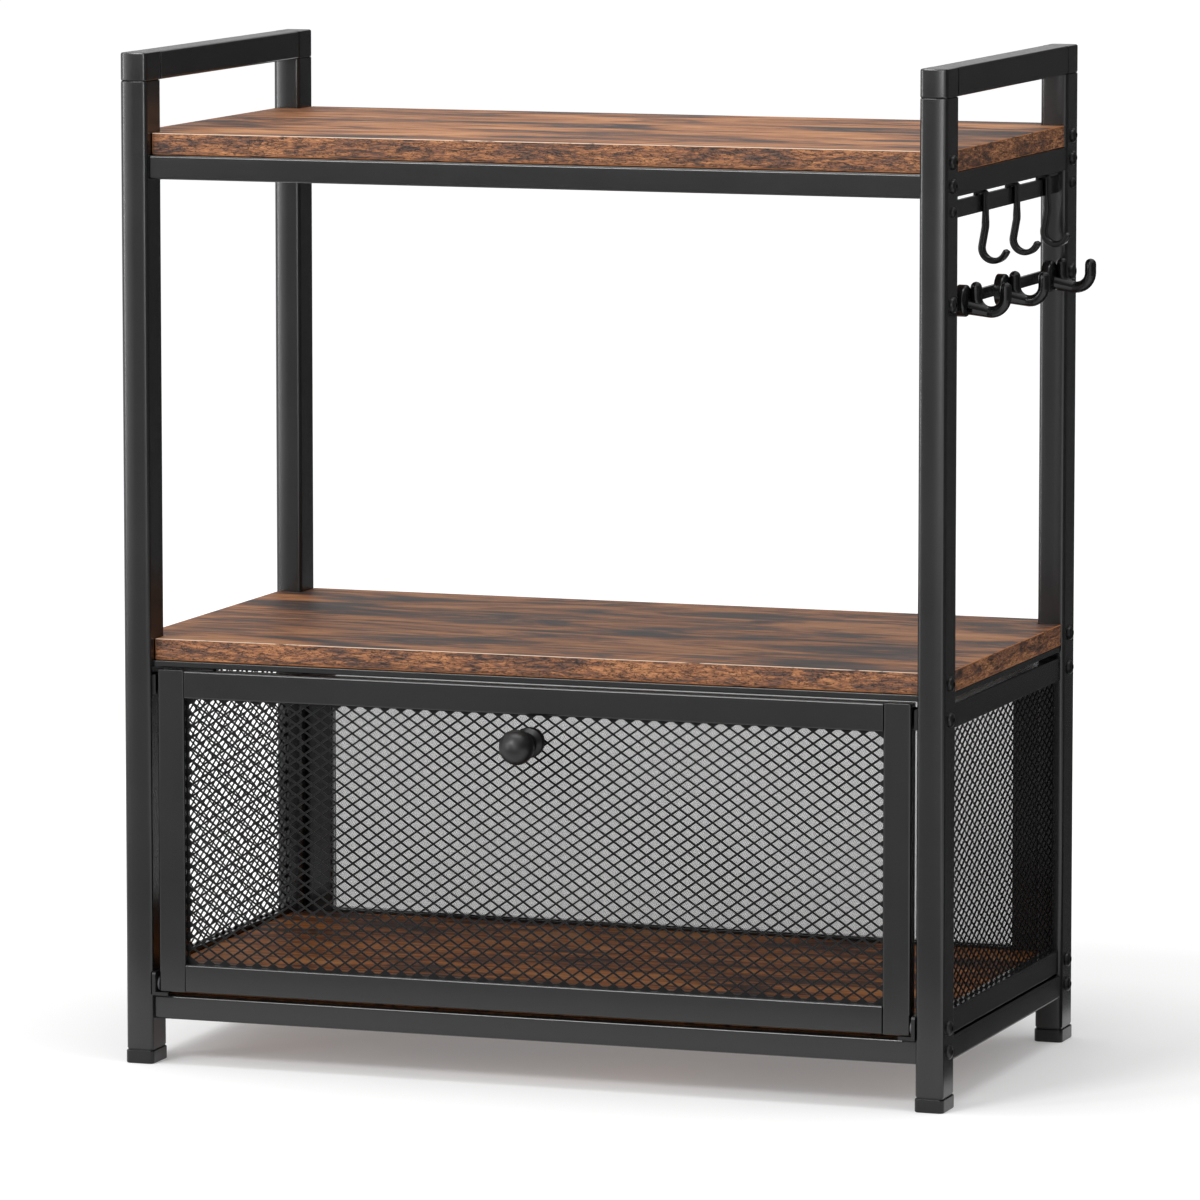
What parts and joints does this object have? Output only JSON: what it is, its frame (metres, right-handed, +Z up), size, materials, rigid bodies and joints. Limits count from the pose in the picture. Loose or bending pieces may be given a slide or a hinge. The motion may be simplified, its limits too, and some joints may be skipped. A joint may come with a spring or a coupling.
{
  "type": "microwave stand",
  "caption": "Kitchen stand with tube side frames, wood boards, an open microwave bay, a mesh cabinet with a flip-down door, and hooks at one side.",
  "frame": {"origin": "on the floor, in the middle between the four legs", "axes": "+Z up, -Y towards the front with the door, +X towards the side with the hooks"},
  "size_m": [0.6313, 0.3539, 0.711],
  "materials": {
    "black_powder_coat": "satin black powder coat on steel",
    "brown_board": "rustic brown wood-look board with darker mottled edges",
    "black_plastic": "smooth moulded black plastic",
    "black_hardware": "black-coated steel screws and brackets",
    "magnet": "plain dark grey magnet",
    "nylon": "dull dark grey nylon",
    "rubber": "soft black rubber"
  },
  "bodies": {
    "stand": {"back_panel_bars": "black_powder_coat", "back_panel_net": "black_powder_coat", "back_panel_stiles": "black_powder_coat", "board_screws": "black_hardware", "bottom_board": "brown_board", "bottom_rail_front": "black_powder_coat", "bottom_rail_left": "black_powder_coat", "bottom_rail_rear": "black_powder_coat", "bottom_rail_right": "black_powder_coat", "bracket_bolts": "black_hardware", "catch_brackets": "black_hardware", "catch_magnets": "magnet", "corner_blocks": "black_plastic", "cradle_hook_front": "black_plastic", "cradle_hook_middle": "black_plastic", "cradle_hook_rear": "black_plastic", "cradle_screws": "black_hardware", "feet": "black_plastic", "frame_bolts": "black_hardware", "handle_bar_left": "black_powder_coat", "handle_bar_right": "black_powder_coat", "hinge_brackets": "black_hardware", "hook_bar_lower": "black_powder_coat", "hook_bar_screws": "black_hardware", "hook_bar_upper": "black_powder_coat", "left_panel_bars": "black_powder_coat", "left_panel_net": "black_powder_coat", "leg_front_left": "black_powder_coat", "leg_front_right": "black_powder_coat", "leg_rear_left": "black_powder_coat", "leg_rear_right": "black_powder_coat", "middle_board": "brown_board", "right_panel_bars": "black_powder_coat", "right_panel_net": "black_powder_coat", "shelf_strip_front": "black_powder_coat", "shelf_strip_left": "black_powder_coat", "shelf_strip_rear": "black_powder_coat", "shelf_strip_right": "black_powder_coat", "strip_screws": "black_hardware", "top_board": "brown_board", "top_rail_front": "black_powder_coat", "top_rail_left": "black_powder_coat", "top_rail_rear": "black_powder_coat", "top_rail_right": "black_powder_coat"},
    "door": {"door_stile_left": "black_powder_coat", "door_stile_right": "black_powder_coat", "door_rail_top": "black_powder_coat", "door_rail_bottom": "black_powder_coat", "door_net": "black_powder_coat", "door_knob": "black_plastic", "knob_washers": "black_hardware", "knob_screw": "black_hardware", "door_bumper": "rubber", "hinge_bushes": "nylon"},
    "hook_front": {"j_hook_front": "black_powder_coat"},
    "hook_middle": {"j_hook_middle": "black_powder_coat"},
    "hook_rear": {"j_hook_rear": "black_powder_coat"}
  },
  "joints": [
    {"name": "door_hinge", "type": "hinge", "parent": "stand", "child": "door", "pos_m": [0, -0.1523, 0.057], "axis": [1, 0, 0], "range_deg": [0, 90]},
    {"name": "hook_front_slide", "type": "slide", "parent": "stand", "child": "hook_front", "axis": [0, 1, 0], "range_m": [-0.069, 0.033]},
    {"name": "hook_middle_slide", "type": "slide", "parent": "stand", "child": "hook_middle", "axis": [0, 1, 0], "range_m": [-0.033, 0.033]},
    {"name": "hook_rear_slide", "type": "slide", "parent": "stand", "child": "hook_rear", "axis": [0, 1, 0], "range_m": [-0.033, 0.026]}
  ]
}
